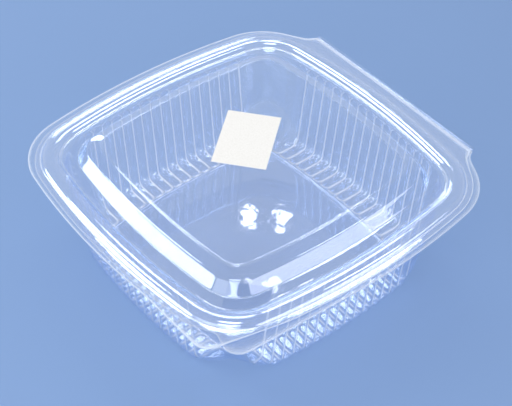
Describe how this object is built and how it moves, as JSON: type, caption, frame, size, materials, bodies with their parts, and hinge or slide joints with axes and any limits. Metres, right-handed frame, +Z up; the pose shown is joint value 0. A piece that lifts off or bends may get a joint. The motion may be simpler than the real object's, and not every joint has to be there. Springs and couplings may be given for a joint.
{
  "type": "hinged pastry container",
  "caption": "Square clear plastic food container: a fluted tray and a low domed lid joined along one edge by a thin hinge, with a blank label on the lid.",
  "frame": {"origin": "middle of the underside of the floor panel, the flat face that the container stands on", "axes": "+Z up; X along the hinge; +Y towards the hinge; the finger tabs are at the +X, -Y corner"},
  "size_m": [0.1924, 0.1954, 0.0665],
  "materials": {
    "clear_pet": "clear, glossy thermoformed PET sheet",
    "label_paper": "blank matt white paper label"
  },
  "bodies": {
    "tray": {"tray": "clear_pet"},
    "lid": {"lid": "clear_pet", "label": "label_paper"}
  },
  "joints": [
    {"name": "lid_hinge", "type": "hinge", "parent": "tray", "child": "lid", "pos_m": [0, 0.0979, 0.05665], "axis": [-1, 0, 0], "range_deg": [0, 180]}
  ]
}
